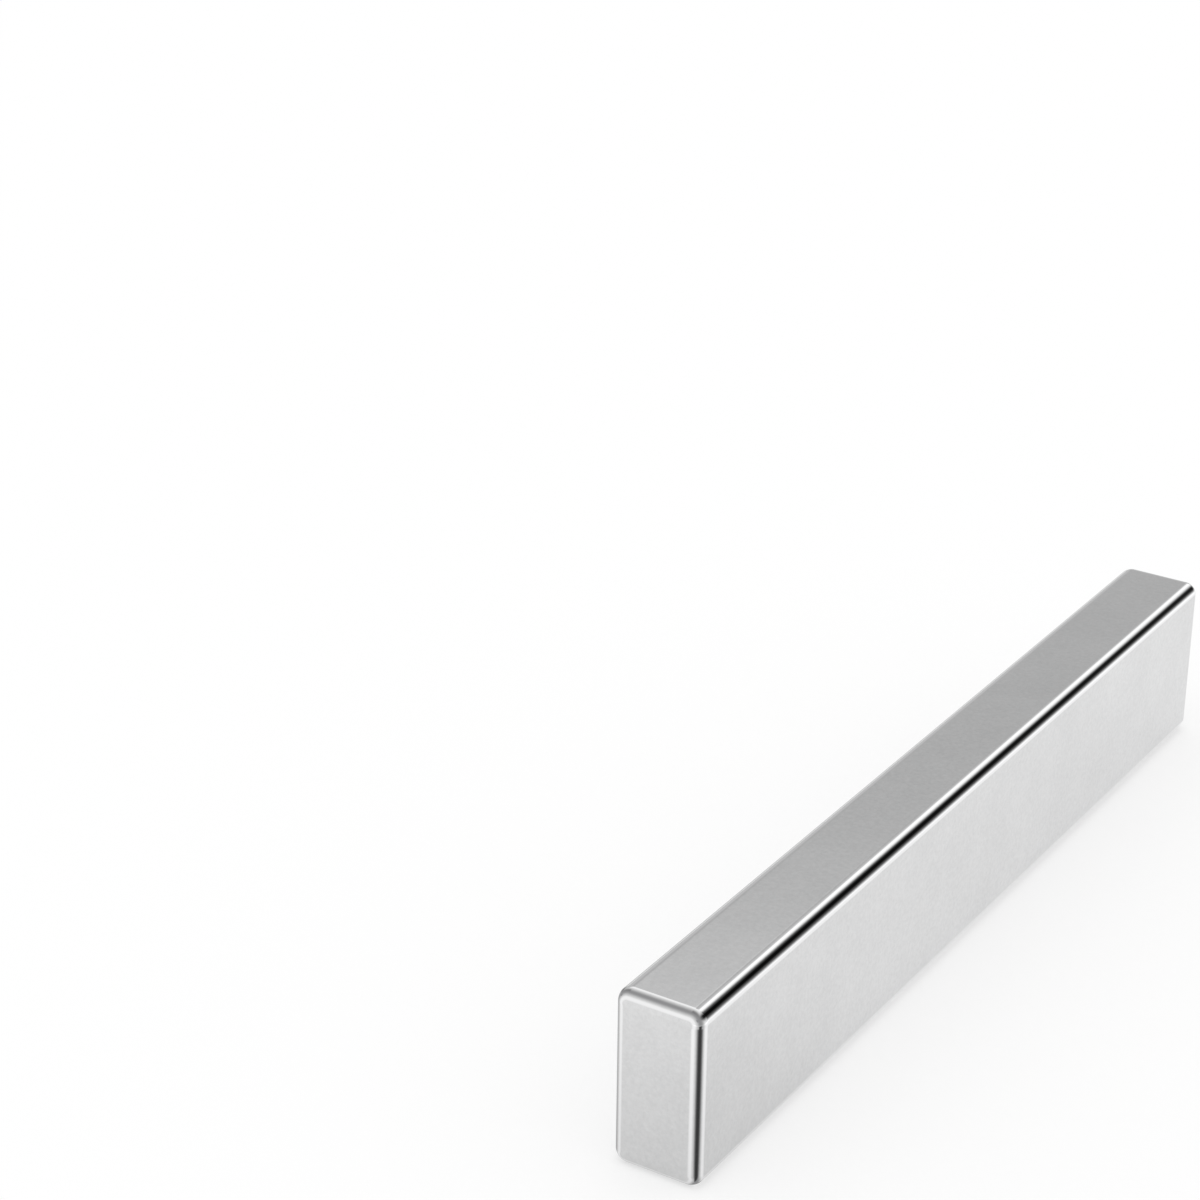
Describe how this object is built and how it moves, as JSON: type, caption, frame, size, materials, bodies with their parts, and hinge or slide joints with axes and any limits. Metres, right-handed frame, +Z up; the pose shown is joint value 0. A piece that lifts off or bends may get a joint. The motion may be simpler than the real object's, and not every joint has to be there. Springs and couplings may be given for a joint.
{
  "type": "block magnet",
  "caption": "Straight rectangular bar magnet with softly rounded edges and a bright nickel-plated skin, lying on a narrow face.",
  "frame": {"origin": "middle of the narrow face that the bar rests on, at the resting surface", "axes": "+Y along the bar's length, +X across its thickness from one broad face to the other, +Z up along its height"},
  "size_m": [0.005, 0.06, 0.01],
  "materials": {
    "bright_nickel": "bright nickel plating over sintered magnet material, faintly satin"
  },
  "bodies": {
    "root": {"block_magnet": "bright_nickel"}
  },
  "joints": []
}
